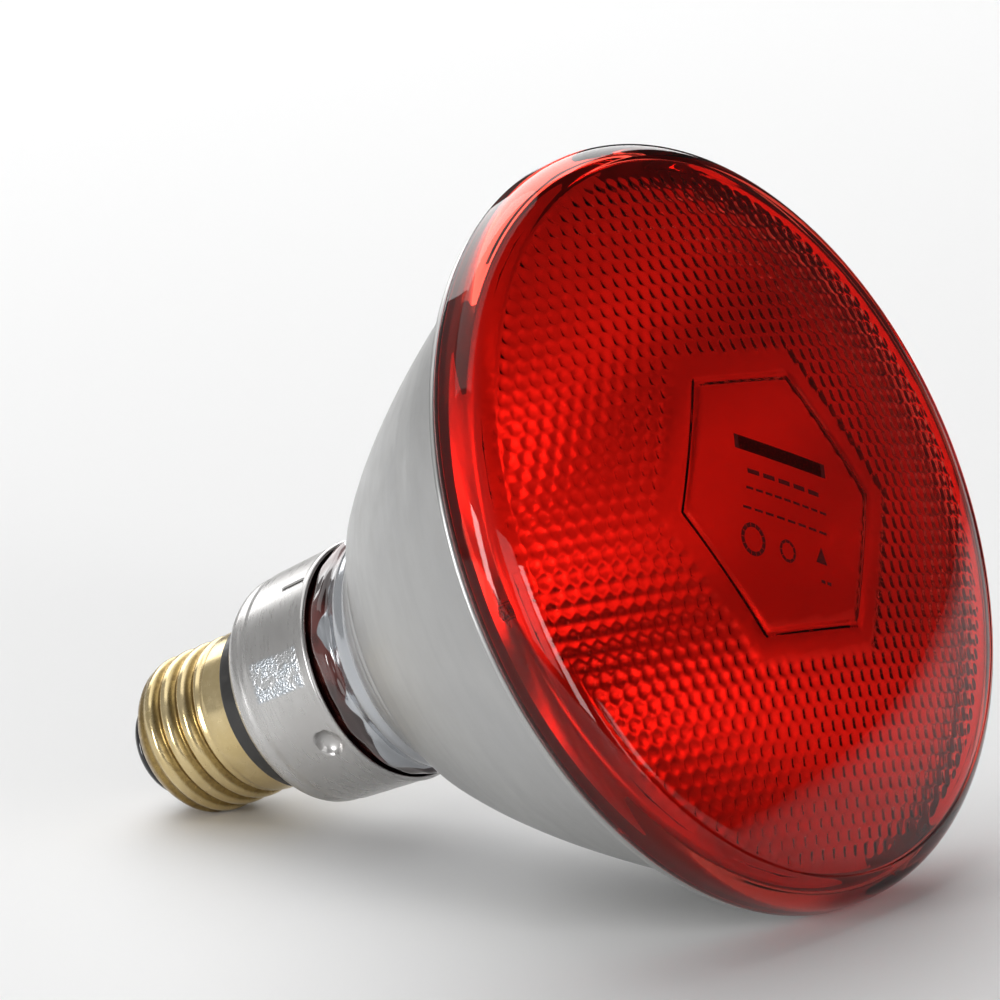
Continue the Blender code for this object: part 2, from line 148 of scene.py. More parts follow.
def arc(centre, radius, start, end, steps):
    """(radius, height) points on an arc, angles in degrees from +radius towards +height."""
    turns = np.radians(np.linspace(start, end, steps + 1))
    return [(centre[0] + radius * math.cos(t), centre[1] + radius * math.sin(t)) for t in turns]


def ball_of(edge_radius, edge_height, top_height):
    """Radius of the ball whose cap has this edge and top."""
    rise = top_height - edge_height
    return (edge_radius ** 2 + rise ** 2) / (2 * rise)


def dome_height(radius, ball, top):
    """Height of a spherical dome at a distance from the axis."""
    return top - ball + np.sqrt(ball ** 2 - np.square(radius))


def rounded(corners, steps=5):
    """A (radius, height) outline with a fillet of the third number at each of its corners."""
    points = [corners[0][:2]]
    for before, corner, after in zip(corners, corners[1:], corners[2:]):
        fillet = corner[2] if len(corner) > 2 else 0.0
        here, back, on = (Vector(p[:2]) for p in (corner, before, after))
        if not fillet:
            points.append(tuple(here))
            continue
        first, last = (back - here), (on - here)
        reach = min(fillet, 0.49 * first.length, 0.49 * last.length)
        start, end = here + first.normalized() * reach, here + last.normalized() * reach
        for step in range(steps + 1):
            t = step / steps
            points.append(tuple((1 - t) ** 2 * start + 2 * t * (1 - t) * here + t * t * end))
    points.append(corners[-1][:2])
    return points


def refined(points, longest):
    """The same outline with its long runs divided."""
    fine = [points[0]]
    for (r0, z0), (r1, z1) in zip(points, points[1:]):
        count = max(1, math.ceil(math.hypot(r1 - r0, z1 - z0) / longest))
        fine += [(r0 + (r1 - r0) * i / count, z0 + (z1 - z0) * i / count) for i in range(1, count + 1)]
    return fine


def fade(value, start, end):
    """0 before start, 1 after end, and a smooth rise between."""
    t = np.clip((value - start) / (end - start), 0.0, 1.0)
    return t * t * (3 - 2 * t)


# ---------------------------------------------------------------- meshes and pieces

def mesh_from(name, corners, faces, groups=None):
    """A mesh from corners in millimetres, its faces and each face's material number."""
    mesh = bpy.data.meshes.new(name)
    mesh.from_pydata([tuple(c) for c in np.asarray(corners, float) * MM], [], faces)
    if groups is not None:
        mesh.polygons.foreach_set("material_index", np.asarray(groups, np.int32))
    return mesh


def turned(name, profile, count, groups=None, closed=False):
    """A surface of revolution from (radius, height) points; groups gives each run's material."""
    turns = np.arange(count) * 2 * math.pi / count
    corners, rings = [], []
    for radius, height in profile:
        if radius < 1e-6:
            rings.append([len(corners)] * count)
            corners.append((0.0, 0.0, height))
        else:
            rings.append(list(range(len(corners), len(corners) + count)))
            corners += [(radius * math.cos(t), radius * math.sin(t), height) for t in turns]
    if closed:
        rings.append(rings[0])
    faces, numbers = [], []
    for run, (low, high) in enumerate(zip(rings, rings[1:])):
        for i in range(count):
            j = (i + 1) % count
            face = list(dict.fromkeys((low[i], low[j], high[j], high[i])))
            if len(face) > 2:
                faces.append(face)
                numbers.append(groups[run] if groups else 0)
    return mesh_from(name, corners, faces, numbers)


def finished(mesh, angle=40.0):
    """Weld the mesh, face it outwards and shade it smooth but for its real edges."""
    work = bmesh.new()
    work.from_mesh(mesh)
    bmesh.ops.remove_doubles(work, verts=work.verts, dist=1e-6)
    bmesh.ops.recalc_face_normals(work, faces=work.faces)
    work.to_mesh(mesh)
    work.free()
    mesh.shade_smooth()
    mesh.set_sharp_from_angle(angle=math.radians(angle))
    return mesh


def piece(name, mesh, finishes, replaces=()):
    """A visible piece on the lamp, standing for the CAD nodes it replaces."""
    mesh.transform(LAMP)
    made = bpy.data.objects.new(name, mesh)
    bpy.context.scene.collection.objects.link(made)
    for finish in finishes:
        mesh.materials.append(finish)
    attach(made, "root")
    if replaces:
        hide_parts(*replaces)
    return made


# ---------------------------------------------------------------- finishes

class Finish:
    """A procedural material: one Principled shader and short ways to feed its sockets."""

    def __init__(self, name, colour, roughness, **sockets):
        self.material = bpy.data.materials.new(name)
        self.material.use_nodes = True
        self.tree = self.material.node_tree
        self.shader = self.tree.nodes["Principled BSDF"]
        self.shader.inputs["Base Color"].default_value = (*colour, 1.0)
        self.shader.inputs["Roughness"].default_value = roughness
        for socket, value in sockets.items():
            self.shader.inputs[socket.replace("_", " ")].default_value = value
        spot = self.tree.nodes.new("ShaderNodeTexCoord").outputs["Object"]
        self.place = self.node(
            "ShaderNodeMapping",
            {"Vector": spot, "Location": LAMP.translation, "Rotation": LAMP.to_euler()},
            vector_type="TEXTURE").outputs[0]

    def node(self, kind, values=(), **settings):
        """A node with its settings, and its inputs set or linked in order."""
        made = self.tree.nodes.new(kind)
        for key, value in settings.items():
            setattr(made, key, value)
        for key, value in dict(values).items():
            if isinstance(value, bpy.types.NodeSocket):
                self.tree.links.new(value, made.inputs[key])
            else:
                made.inputs[key].default_value = value
        return made

    def feed(self, socket, value):
        """Link a value to one of the shader's sockets."""
        self.tree.links.new(value, self.shader.inputs[socket])

    def maths(self, operation, first, second=0.0, third=0.0):
        """The result of one operation on numbers or sockets."""
        return self.node(
            "ShaderNodeMath", {0: first, 1: second, 2: third}, operation=operation).outputs[0]

    def spread(self, value, low, high, new_low=0.0, new_high=1.0):
        """The value's run from low to high, smoothly mapped onto another run."""
        return self.node(
            "ShaderNodeMapRange",
            {"Value": value, "From Min": low, "From Max": high,
             "To Min": new_low, "To Max": new_high},
            interpolation_type="SMOOTHSTEP").outputs[0]

    def mix(self, amount, first, second):
        """A colour between two colours."""
        made = self.node("ShaderNodeMix", {0: amount}, data_type="RGBA")
        for index, value in ((6, first), (7, second)):
            if isinstance(value, bpy.types.NodeSocket):
                self.tree.links.new(value, made.inputs[index])
            else:
                made.inputs[index].default_value = (*value, 1.0)
        return made.outputs[2]

    def stretched(self, scale):
        """The place on the piece, scaled on each axis."""
        return self.node(
            "ShaderNodeVectorMath", {0: self.place, 1: scale}, operation="MULTIPLY").outputs[0]

    def noise(self, scale, detail=3.0, rough=0.5, stretch=None):
        """Soft noise over the piece, from 0 to 1."""
        place = self.stretched(stretch) if stretch else self.place
        return self.node(
            "ShaderNodeTexNoise",
            {"Vector": place, "Scale": scale, "Detail": detail, "Roughness": rough}).outputs[0]

    def cells(self, scale):
        """Distance from the middles of small random cells."""
        return self.node(
            "ShaderNodeTexVoronoi", {"Vector": self.place, "Scale": scale}).outputs[0]

    def axes(self):
        """x, y and height on the piece, in metres."""
        return self.node("ShaderNodeSeparateXYZ", {0: self.place}).outputs

    def polar(self):
        """Distance from the axis in metres, and angle about it in radians."""
        x, y, _ = self.axes()
        squares = [self.maths("MULTIPLY", side, side) for side in (x, y)]
        return self.maths("SQRT", self.maths("ADD", *squares)), self.maths("ARCTAN2", y, x)

    def bump(self, height, strength, distance):
        """Relief from a height, no deeper than a distance in metres."""
        self.feed("Normal", self.node(
            "ShaderNodeBump",
            {"Height": height, "Strength": strength, "Distance": distance}).outputs[0])


def red_glass():
    """Ruby glass, deep where the way through it is long, with a few specks of dust."""
    made = Finish("red_glass", (0.95, 0.105, 0.07), 0.015, Transmission_Weight=1.0, IOR=1.5,
                  Specular_Tint=(0.65, 0.55, 0.53, 1.0))
    absorption = made.node(
        "ShaderNodeVolumeAbsorption", {"Color": (0.8, 0.3, 0.25, 1.0), "Density": 60.0})
    made.tree.links.new(
        absorption.outputs[0], made.tree.nodes["Material Output"].inputs["Volume"])
    made.feed("Roughness", made.spread(made.noise(900.0, 4.0), 0.62, 0.8, 0.012, 0.12))
    made.bump(made.noise(45.0, 2.0), 0.12, 0.0004)
    return made.material


def coated_glass():
    """Outside of the bowl: satin silver coat that ends in lobes over a glossy dark red neck."""
    made = Finish("coated_glass", (0.6, 0.6, 0.6), 0.34, Metallic=1.0, Coat_Roughness=0.05)
    _, _, height = made.axes()
    lobes = made.noise(110.0, 1.5, 0.4, stretch=(1.0, 1.0, 0.25))
    edge = made.maths("MULTIPLY_ADD", lobes, 0.009, height)
    coat = made.spread(edge, 0.0593, 0.05955)
    body = made.spread(height, 0.0595, 0.0615)
    broad = made.noise(22.0, 3.0)
    fine = made.noise(160.0, 5.0, 0.6, stretch=(1.0, 1.0, 2.0))
    rings = made.noise(1.0, 2.0, stretch=(20.0, 20.0, 380.0))
    silver = made.mix(made.spread(broad, 0.3, 0.7), (0.43, 0.43, 0.43), (0.5, 0.5, 0.49))
    silver = made.mix(made.spread(fine, 0.55, 0.75, 0.0, 0.35), silver, (0.48, 0.47, 0.46))
    silver = made.mix(made.spread(rings, 0.5, 0.7, 0.0, 0.4), silver, (0.42, 0.42, 0.42))
    silver = made.mix(body, (0.5, 0.52, 0.55), silver)
    ruby = made.mix(
        made.spread(made.noise(120.0, 3.0), 0.42, 0.62), (0.02, 0.005, 0.004), (0.1, 0.022, 0.018))
    made.feed("Base Color", made.mix(coat, ruby, silver))
    made.feed("Metallic", made.maths("MULTIPLY", coat, 0.92))
    made.feed("Coat Weight", made.spread(height, 0.059, 0.062, 0.9, 0.05))
    satin = made.node("ShaderNodeMix", {
        0: body, 2: 0.16, 3: made.spread(fine, 0.3, 0.8, 0.3, 0.42)}, data_type="FLOAT").outputs[0]
    made.feed("Roughness", made.node(
        "ShaderNodeMix", {0: coat, 2: 0.06, 3: satin}, data_type="FLOAT").outputs[0])
    heights = made.maths("MULTIPLY_ADD", fine, 0.3, rings)
    made.bump(made.maths("MULTIPLY_ADD", coat, 0.5, heights), 0.2, 0.0003)
    return made.material


def mirror():
    """Vapour-coated aluminium inside the bowl."""
    made = Finish("mirror", (0.88, 0.88, 0.89), 0.22, Metallic=1.0)
    made.feed("Roughness", made.spread(made.noise(300.0, 4.0), 0.4, 0.8, 0.28, 0.36))
    made.bump(made.noise(60.0, 2.0), 0.1, 0.0003)
    return made.material


def aluminium():
    """Drawn aluminium sheet, satin, with a stamped patch of fine sparkling grain."""
    made = Finish("aluminium", (0.8, 0.79, 0.78), 0.2, Metallic=1.0)
    _, turn = made.polar()
    _, _, height = made.axes()
    grain = made.cells(2600.0)
    drawn = made.noise(1.0, 4.0, 0.6, stretch=(260.0, 260.0, 2200.0))
    broad = made.noise(70.0, 3.0)
    around = made.maths("ABSOLUTE", made.maths("SUBTRACT", turn, PATCH_TURN))
    along = made.maths("ABSOLUTE", made.maths("SUBTRACT", height, PATCH_HEIGHT * MM))
    patch = made.maths("MULTIPLY", made.spread(around, 0.15, 0.185, 1.0, 0.0),
                       made.spread(along, 0.0046, 0.0056, 1.0, 0.0))
    worn = made.spread(made.noise(420.0, 4.0, 0.7), 0.4, 0.55, 0.35, 1.0)
    patch = made.maths("MULTIPLY", patch, worn)
    sheet = made.mix(made.spread(broad, 0.35, 0.7), (0.6, 0.59, 0.58), (0.5, 0.49, 0.48))
    made.feed("Base Color", made.mix(patch, sheet, (0.48, 0.51, 0.54)))
    smooth = made.spread(made.maths("MULTIPLY_ADD", broad, 0.5, drawn), 0.5, 1.0, 0.24, 0.36)
    made.feed("Roughness", made.maths("MULTIPLY_ADD", patch, 0.08, smooth))
    relief = made.maths("MULTIPLY", made.maths("MULTIPLY", grain, patch), 6.0)
    made.bump(made.maths("MULTIPLY_ADD", drawn, 0.15, relief), 0.3, 0.00012)
    return made.material


def brass():
    """Rolled brass: bright rubbed crests, darker roots with a film of tarnish."""
    made = Finish("brass", (0.8, 0.6, 0.27), 0.22, Metallic=1.0)
    reach, _ = made.polar()
    broad = made.noise(130.0, 4.0, 0.6)
    fine = made.noise(900.0, 4.0, 0.6)
    crest = made.spread(made.maths("MULTIPLY_ADD", broad, 0.0004, reach), 0.0127, 0.0133)
    tarnish = made.mix(made.spread(fine, 0.4, 0.7), (0.3, 0.2, 0.06), (0.18, 0.11, 0.032))
    bright = made.mix(made.spread(broad, 0.35, 0.7), (0.74, 0.6, 0.34), (0.64, 0.5, 0.25))
    made.feed("Base Color", made.mix(made.spread(crest, 0.0, 1.0, 0.1, 1.0), tarnish, bright))
    made.feed("Roughness", made.maths(
        "MULTIPLY_ADD", crest, -0.1, made.spread(fine, 0.3, 0.8, 0.26, 0.4)))
    scratches = made.noise(1.0, 5.0, 0.7, stretch=(420.0, 420.0, 3000.0))
    made.bump(scratches, 0.1, 0.0001)
    return made.material


def plain_metal(name, colour, roughness, dull):
    """A wire or solder metal with uneven dull spots."""
    made = Finish(name, colour, roughness, Metallic=1.0)
    spots = made.noise(500.0, 4.0, 0.6)
    made.feed("Base Color", made.mix(made.spread(spots, 0.35, 0.7), colour, dull))
    made.feed("Roughness", made.spread(spots, 0.3, 0.8, roughness * 0.7, min(1.0, roughness * 1.5)))
    made.bump(made.noise(1400.0, 3.0), 0.2, 0.0001)
    return made.material


def dark_gloss(name, colour, worn, roughness):
    """Black glass or moulded ceramic with rubbed, dusty places."""
    made = Finish(name, colour, roughness, Coat_Weight=0.2)
    spots = made.noise(420.0, 5.0, 0.6)
    made.feed("Base Color", made.mix(made.spread(spots, 0.5, 0.8), colour, worn))
    made.feed("Roughness", made.spread(spots, 0.3, 0.8, roughness * 0.7, roughness * 1.6))
    made.bump(made.noise(800.0, 3.0), 0.25, 0.0001)
    return made.material


def clear_glass():
    """Clear glass of the exhaust tip and the bead."""
    made = Finish("clear_glass", (0.95, 0.97, 0.98), 0.02, Transmission_Weight=1.0, IOR=1.5)
    made.bump(made.noise(250.0, 2.0), 0.1, 0.0002)
    return made.material


def cement():
    """Dry, gritty basing cement."""
    made = Finish("cement", (0.6, 0.55, 0.47), 0.9)
    grit = made.noise(1500.0, 5.0, 0.7)
    made.feed("Base Color", made.mix(
        made.spread(grit, 0.35, 0.7), (0.66, 0.6, 0.52), (0.42, 0.37, 0.31)))
    made.feed("Roughness", made.spread(grit, 0.3, 0.8, 0.8, 1.0))
    made.bump(grit, 0.6, 0.0003)
    return made.material


def printing_ink():
    """Matt dark ink of the generic printed marks, thin in places."""
    ink, thin = (0.05, 0.002, 0.002), (0.12, 0.005, 0.004)
    made = Finish("printing_ink", ink, 0.5, Specular_IOR_Level=0.15)
    wear = made.noise(2200.0, 4.0, 0.7)
    made.feed("Base Color", made.mix(made.spread(wear, 0.45, 0.7), ink, thin))
    made.feed("Roughness", made.spread(wear, 0.3, 0.8, 0.4, 0.6))
    return made.material


# ---------------------------------------------------------------- lens

LENS_BALL = ball_of(FACE_RADIUS, FACE_EDGE, LENS_TOP)
INNER_TOP = LENS_TOP - LENS_WALL
INNER_BALL = ball_of(INNER_EDGE, FACE_EDGE - LENS_WALL, INNER_TOP)


def hexagon_reach(points):
    """How far points lie from the axis, measured square to the window's nearest side."""
    turns = WINDOW_TURN + np.radians(30 + 60 * np.arange(6))
    return np.max(points @ np.array([np.cos(turns), np.sin(turns)]), axis=1)


def stipple_centres():
    """Middles of the small round lenses: six neighbours each, rows along the window's sides."""
    reach = int(INNER_EDGE / STIPPLE_PITCH) + 2
    steps = np.arange(-reach, reach + 1)
    along, across = np.meshgrid(steps, steps)
    first = np.array([math.cos(WINDOW_TURN), math.sin(WINDOW_TURN)])
    second_turn = WINDOW_TURN + math.radians(60)
    second = np.array([math.cos(second_turn), math.sin(second_turn)])
    points = STIPPLE_PITCH * (along.reshape(-1, 1) * first + across.reshape(-1, 1) * second)
    row = STIPPLE_PITCH * math.sqrt(3) / 2
    clear = hexagon_reach(points) > (STIPPLE_ROWS_CLEAR - 0.5) * row
    inside = np.hypot(*points.T) < INNER_EDGE - STIPPLE_PITCH * 0.45
    return points[clear & inside]


def nearest(points, centres):
    """Distance from each point to the nearest centre."""
    best = np.full(len(points), np.inf)
    for centre in centres:
        np.minimum(best, np.hypot(*(points - centre).T), out=best)
    return best


def lens_underside(points, centres):
    """Height of the lens's inner side: a dome with its small lenses and the window's ridge.

    Each small lens is part ball and part soft wave, and they grow flat towards the edge.
    """
    reach = np.hypot(*points.T)
    base = dome_height(reach, INNER_BALL, INNER_TOP)
    corner = STIPPLE_PITCH / math.sqrt(3)
    away = np.minimum(nearest(points, centres), corner)
    cap = np.sqrt(STIPPLE_BALL ** 2 - away ** 2) - math.sqrt(STIPPLE_BALL ** 2 - corner ** 2)
    crown = STIPPLE_CROWN * (0.5 + 0.5 * np.cos(math.pi * away / corner))
    bump = (0.75 * cap + 0.3 * crown) * (1 - fade(reach, INNER_EDGE - 2.3, INNER_EDGE - 0.5))
    side = WINDOW_RADIUS * math.cos(math.pi / 6)
    off = np.clip(np.abs(hexagon_reach(points) - side) / RIDGE_HALF_WIDTH, 0, 1)
    return base - bump - RIDGE_HEIGHT * (0.5 + 0.5 * np.cos(math.pi * off))


def lens_points(centres, rim):
    """Points that carry the small lenses, the ridge and the plain glass between them."""
    found = [rim]
    turn = WINDOW_TURN + math.radians(30)
    corner = STIPPLE_PITCH / math.sqrt(3)
    for share, sides in ((0, 1), (0.34, 1), (0.67, 2), (1, 3)):
        ring = []
        for side in range(6):
            start, end = (
                np.array([math.cos(turn + a), math.sin(turn + a)]) * corner * share
                for a in (side * math.pi / 3, (side + 1) * math.pi / 3))
            ring += [start + (end - start) * i / sides for i in range(sides)]
        if share == 0:
            ring = ring[:1]
        found += [centres + spot for spot in ring]
    apothem = math.cos(math.pi / 6)
    for offset in np.linspace(-1, 1, 7) * RIDGE_HALF_WIDTH:
        reach = WINDOW_RADIUS + offset / apothem
        for side in range(6):
            start, end = (
                np.array([math.cos(a), math.sin(a)]) * reach
                for a in (WINDOW_TURN + side * math.pi / 3, WINDOW_TURN + (side + 1) * math.pi / 3))
            found.append(start + (end - start) * np.linspace(0, 1, 33)[:-1, None])
    steps = np.arange(-60, 61) * PLAIN_SPACING
    plain = np.stack(np.meshgrid(steps, steps), -1).reshape(-1, 2)
    off = np.abs(hexagon_reach(plain) - WINDOW_RADIUS * apothem)
    plain = plain[(off > RIDGE_HALF_WIDTH + 0.5) & (np.hypot(*plain.T) < INNER_EDGE - 0.7)]
    found.append(plain[nearest(plain, centres) > corner + 0.35])
    points = np.concatenate(found)
    keys = np.round(points / 0.02).astype(int)
    _, unique = np.unique(keys, axis=0, return_index=True)
    return points[np.sort(unique)]


def make_lens():
    """The pressed lens: glossy dome, rounded rim, and a stippled inner side with a plain window."""
    count = 360
    reach = np.linspace(0, FACE_RADIUS - 0.35, 44)
    outside = [(r, float(dome_height(r, LENS_BALL, LENS_TOP))) for r in reach]
    step = [(FACE_RADIUS - 0.1, FACE_EDGE - 0.1), (FACE_RADIUS + 0.3, FACE_EDGE - 0.05)]
    shoulder = arc((RIM_RADIUS - SHOULDER, SHOULDER_START), SHOULDER, 63, 0, 18)
    rim = rounded([
        (RIM_RADIUS, SHOULDER_START), (RIM_RADIUS, SEAM + 1.2, 0.8), (59.8, SEAM + 0.3, 0.5),
        (56.9, SEAM + 0.3, 0.4), (56.6, 120.6, 1.25), (INNER_EDGE, FACE_EDGE - LENS_WALL)], 8)
    profile = outside + step + shoulder + refined(rim[1:], 0.6)
    mesh = turned("front_lens", profile, count)
    turns = np.arange(count) * 2 * math.pi / count
    edge = INNER_EDGE * np.stack([np.cos(turns), np.sin(turns)], 1)
    centres = stipple_centres()
    flat = lens_points(centres, edge)
    spots, _, faces, *_ = delaunay_2d_cdt([Vector(p) for p in flat], [], [], 0, 1e-5, False)
    spots = np.array(spots)
    heights = lens_underside(spots, centres)
    on_edge = np.hypot(*spots.T) > INNER_EDGE - 0.001
    heights[on_edge] = FACE_EDGE - LENS_WALL
    work = bmesh.new()
    work.from_mesh(mesh)
    made = [work.verts.new((x * MM, y * MM, z * MM)) for (x, y), z in zip(spots, heights)]
    for face in faces:
        work.faces.new([made[i] for i in face])
    work.to_mesh(mesh)
    work.free()
    piece("lens", finished(mesh, 50), [red_glass()], ["front_lens"])


def dome_patch(outline, thickness, lift):
    """A thin flat shape laid on the dome: its outline in millimetres, lifted off the glass."""
    count = len(outline)
    corners = []
    for level in (lift, lift + thickness):
        for x, y in outline:
            corners.append((x, y, float(dome_height(math.hypot(x, y), LENS_BALL, LENS_TOP)) + level))
    faces = [list(range(count))[::-1], list(range(count, 2 * count))]
    faces += [[i, (i + 1) % count, count + (i + 1) % count, count + i] for i in range(count)]
    return corners, faces


def ring_of(middle, radius, width, count):
    """A broken ring: four-cornered pieces around a middle."""
    pieces = []
    for start in np.linspace(0, 2 * math.pi, count + 1)[:-1]:
        turns = (start, start + 1.8 * math.pi / count)
        pieces.append([(middle[0] + (radius + side * width / 2) * math.cos(t),
                        middle[1] + (radius + side * width / 2) * math.sin(t))
                       for side, t in ((-1, turns[0]), (1, turns[0]), (1, turns[1]), (-1, turns[1]))])
    return pieces


def dashes(height, rise, start, end, count, gap):
    """A row of bars between two ends, in the marks' own axes."""
    edges = np.linspace(start, end + gap, count + 1)
    return [[(left, rise - height / 2), (right - gap, rise - height / 2),
             (right - gap, rise + height / 2), (left, rise + height / 2)]
            for left, right in zip(edges, edges[1:])]


def make_marks():
    """Generic printed marks on the window: plain bars and simple signs, no lettering."""
    right = np.array([math.cos(MARKS_TURN), math.sin(MARKS_TURN)])
    above = np.array([-right[1], right[0]])
    shapes = dashes(2.3, 6.0, -12.6, 8.0, 1, 0.0)
    shapes += dashes(0.75, 1.6, -10.4, 5.8, 5, 0.9)
    shapes += dashes(0.4, -1.2, -11.0, 7.2, 9, 0.6)
    shapes += dashes(0.4, -4.5, -12.0, 6.9, 8, 0.7)
    shapes += ring_of((-10.2, -9.4), 2.3, 0.7, 14)
    shapes += ring_of((-2.6, -9.5), 1.6, 0.5, 10)
    shapes.append([(4.0, -9.6), (6.6, -9.6), (5.3, -7.0)])
    shapes += dashes(0.5, -12.4, 5.0, 7.4, 2, 0.5)
    corners, faces = [], []
    for shape in shapes:
        spots = [right * x + above * y for x, y in shape]
        more, sides = dome_patch(spots, 0.02, 0.03)
        faces += [[i + len(corners) for i in side] for side in sides]
        corners += more
    mesh = finished(mesh_from("window_marks", corners, faces), 30)
    piece("window_marks", mesh, [printing_ink()])


# ---------------------------------------------------------------- bowl

def make_bowl():
    """Pressed glass bowl: mirror inside, satin coat outside, bare glass at the neck."""
    rises = (SEAM - MIRROR_START) * np.linspace(0, 1, 40)[1:] ** 2
    inside = [(0.0, MIRROR_START)]
    inside += [(math.sqrt(MIRROR_SPREAD * rise), MIRROR_START + rise) for rise in rises]
    flange = rounded([
        inside[-1], (59.4, SEAM, 0.4), (59.6, SEAM - 0.9, 0.6), (58.4, SEAM - 1.9, 1.0),
        (55.6, SEAM - 2.5)])
    reach = np.linspace(55.2, 30.4, 26)
    wall = [(r, WALL_START + r * r / WALL_SPREAD) for r in reach]
    heel = rounded([
        (30.4, 70.0), (29.0, 68.9, 1.2), (27.4, 67.9, 1.2), (26.5, 66.2, 1.5), (25.2, 64.9, 1.0),
        (23.7, 64.2, 1.2), (22.7, 62.4, 1.4), (21.6, 61.1, 1.0), (20.8, 60.2, 1.2), (20.5, 58.0, 2.0),
        (19.4, 56.2, 1.0), (19.1, 55.3, 0.6), (19.8, 54.4, 1.0), (19.7, 52.3, 1.2), (18.6, 51.2, 0.6),
        (17.5, 48.9, 1.2), (17.5, 45.2, 0.8), (18.3, 44.0, 0.6), (17.2, 39.3, 0.5)], 6)
    recess = rounded([
        (17.2, 39.3), (17.0, 39.0, 0.4), (15.4, 39.0, 0.5), (15.2, 49.4, 1.0), (13.8, 51.0, 0.8),
        (0.0, 51.0)])
    profile = inside + flange[1:-1] + wall + heel[1:-1] + recess
    groups = [1] * (len(inside) - 1) + [0] * (len(profile) - len(inside))
    mesh = turned("bowl", profile, 256, groups)
    for vertex in mesh.vertices:
        x, y, z = vertex.co / MM
        reach = math.hypot(x, y)
        band = fade(z, 51.0, 52.2) * (1 - fade(z, 54.8, 56.2)) * fade(reach, 17.0, 18.6)
        if band > 0:
            turn = math.atan2(y, x)
            lumps = (0.16 * math.sin(5 * turn + 0.7) + 0.12 * math.sin(9 * turn + 1.6 * z)
                     + 0.1 * math.sin(17 * turn - 0.9 * z) - 0.1)
            vertex.co.x += x / reach * lumps * band * MM
            vertex.co.y += y / reach * lumps * band * MM
    piece("bowl", finished(mesh, 50), [coated_glass(), mirror()], ["reflector_bowl"])


# ---------------------------------------------------------------- cap

def tube_faces(count, rows, skip=None):
    """Four-cornered faces of an open tube on a grid, leaving out the (row, column) that skip names."""
    faces = []
    for row in range(rows - 1):
        low, high = row * count, (row + 1) * count
        for i in range(count):
            if skip and skip(row, i):
                continue
            j = (i + 1) % count
            faces.append([low + i, low + j, high + j, high + i])
    return faces


def thicken(thing, thickness):
    """Give a surface the thickness of its sheet, inwards."""
    sheet = thing.modifiers.new("Sheet", "SOLIDIFY")
    sheet.thickness = thickness * MM
    sheet.offset = -1
    sheet.use_even_offset = True


def shell_radius(angle, height):
    """Outer radius of the screw shell: a rolled knuckle thread between two plain ends."""
    mean = THREAD_RADIUS - THREAD_DEPTH / 2
    wave = np.cos(2 * math.pi * (height - THREAD_SHIFT) / THREAD_PITCH - angle)
    ridges = 1 - 2 * ((1 - wave) / 2) ** 1.6
    strength = fade(height, *THREAD_GROWS) * (1 - fade(height, *THREAD_FADES))
    plain = fade(height, *PLAIN_COLLAR)
    foot = np.clip((SHELL_FOOT + FOOT_HEIGHT - height) / FOOT_HEIGHT, 0.0, 1.0)
    return mean + (strength * ridges + plain) * THREAD_DEPTH / 2 - (mean - FOOT_RADIUS) * foot ** 1.6


def make_screw_shell():
    """Brass shell: one thin sheet with the thread rolled into it and a drawn-in foot."""
    turns = np.arange(256) * 2 * math.pi / 256
    heights = np.linspace(SHELL_FOOT, SHELL_TOP, 130)
    turn, height = np.meshgrid(turns, heights)
    radius = shell_radius(turn, height)
    corners = np.stack([radius * np.cos(turn), radius * np.sin(turn), height], -1).reshape(-1, 3)
    mesh = mesh_from("screw_shell_sheet", corners, tube_faces(len(turns), len(heights)))
    shell = piece("screw_shell_sheet", finished(mesh, 60), [brass()], ["screw_shell"])
    thicken(shell, SHELL_SHEET)


def skirt_profile():
    """(radius, height) points up the skirt's outer side, from its floor to its rolled edge."""
    shoulder = arc((15.2, 35.2), 3.45, -74, 12, 14)
    side = refined([(18.62, 36.4), (18.95, 37.6), (19.6, 49.3)], 0.28)
    edge = arc((19.15, 50.1), 0.65, 0, 80, 6)
    return [(12.9, 30.95), (14.4, 31.0), (15.4, 31.3)] + shoulder + side + edge


def make_skirt():
    """Aluminium skirt: drawn sheet with a slit, a stamped patch and three staked dimples."""
    slit = SLIT_HALF_TURN
    turns = np.arange(480) * 2 * math.pi / 480
    turns = turns[np.abs(turns - SLIT_TURN) > slit * 1.6]
    turns = np.sort(np.append(turns, [SLIT_TURN - slit, SLIT_TURN + slit]))
    profile = skirt_profile()
    spread = random.Random(5)
    corners = []
    for radius, height in profile:
        for turn in turns:
            reach = radius
            for stake in range(3):
                off = (turn - STAKE_TURN - stake * 2 * math.pi / 3 + math.pi) % (2 * math.pi) - math.pi
                away = math.hypot(off * radius, height - STAKE_HEIGHT)
                if away < STAKE_REACH:
                    reach -= STAKE_DEPTH * math.sqrt(1 - (away / STAKE_REACH) ** 2)
            across = abs(turn - PATCH_TURN) / PATCH_HALF_TURN
            along = abs(height - PATCH_HEIGHT) / PATCH_HALF_HEIGHT
            if across < 1 and along < 1:
                reach += spread.uniform(-0.05, 0.05) * float(1 - fade(max(across, along), 0.85, 1.0))
            corners.append((reach * math.cos(turn), reach * math.sin(turn), height))

    def in_slit(row, column):
        middle = (profile[row][1] + profile[row + 1][1]) / 2
        return abs(turns[column] + slit - SLIT_TURN) < slit * 0.1 and SLIT_FOOT < middle < SLIT_TOP

    mesh = mesh_from("skirt_sheet", corners, tube_faces(len(turns), len(profile), in_slit))
    skirt = piece("skirt_sheet", finished(mesh, 60), [aluminium()], ["skirt"])
    thicken(skirt, SKIRT_SHEET)


